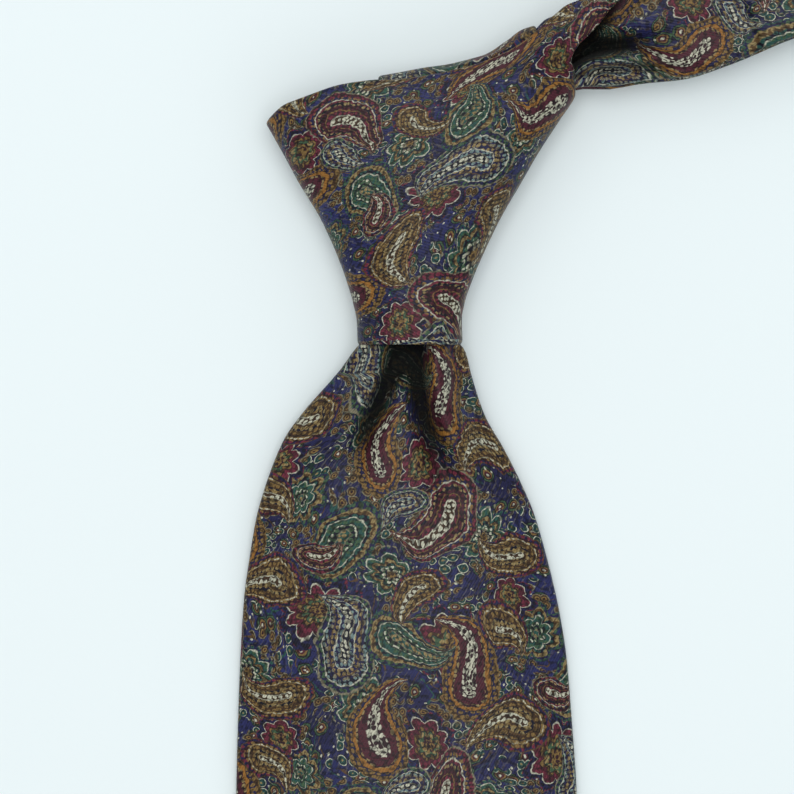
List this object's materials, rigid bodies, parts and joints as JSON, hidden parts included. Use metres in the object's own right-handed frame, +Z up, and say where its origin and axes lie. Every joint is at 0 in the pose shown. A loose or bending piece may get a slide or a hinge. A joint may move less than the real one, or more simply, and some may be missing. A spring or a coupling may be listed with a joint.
{
  "type": "necktie",
  "caption": "Silk necktie tied in a four-in-hand knot, lying flat with a closed neck loop, a wide pointed front blade and a narrow tail that slides through the knot.",
  "frame": {"origin": "bottom centre of the whole tie's box, on the table that it lies on", "axes": "+Y from the front blade's point towards the knot, +Z up out of the table through the front, +X to the right seen from the front"},
  "size_m": [0.2722, 0.5934, 0.0245],
  "materials": {
    "silk": "printed silk twill, navy ground with a multicolour paisley",
    "interlining": "brushed wool, matt",
    "tipping": "plain satin lining",
    "label": "woven damask, blank",
    "care_label": "white satin tape, blank",
    "thread": "twisted silk thread"
  },
  "bodies": {
    "knot": {"knot_front_wrap": "silk", "knot_over_pass": "silk", "knot_first_cross": "silk", "knot_back_wrap": "silk"},
    "front_blade": {"front_blade_shell": "silk", "front_interlining": "interlining", "front_tipping": "tipping", "keeper_loop": "silk", "maker_label": "label", "care_label": "care_label", "front_slip_stitch": "thread", "front_bar_tack": "thread"},
    "tail": {"tail_shell": "silk", "tail_interlining": "interlining", "tail_tipping": "tipping", "tail_slip_stitch": "thread", "tail_bar_tack": "thread"},
    "neck_base": {"neck_upper_shell": "silk", "neck_upper_interlining": "interlining", "neck_lower_shell": "silk", "neck_lower_interlining": "interlining"},
    "neck_turn": {"neck_turn_shell": "silk", "neck_turn_interlining": "interlining"}
  },
  "joints": [
    {"name": "tail_slide", "type": "slide", "parent": "knot", "child": "tail", "axis": [0, -1, 0], "range_m": [-0.022, 0.034]},
    {"name": "front_blade_lift", "type": "hinge", "parent": "knot", "child": "front_blade", "pos_m": [-0.09142, 0.13237, 0.0144], "axis": [-1, 0, 0], "range_deg": [0, 150]},
    {"name": "neck_loop_lift", "type": "hinge", "parent": "knot", "child": "neck_base", "pos_m": [-0.05319, 0.20937, 0.0171], "axis": [0.2774, -0.9608, 0], "range_deg": [0, 70]},
    {"name": "neck_loop_draw", "type": "slide", "parent": "neck_base", "child": "neck_turn", "axis": [-0.9044, -0.4268, 0], "range_m": [-0.011, 0.017], "deforming": ["neck_upper_shell", "neck_upper_interlining", "neck_lower_shell", "neck_lower_interlining"]}
  ],
  "couplings": [
    {"joint": "neck_loop_draw", "follows": "tail_slide", "ratio": 0.5}
  ]
}
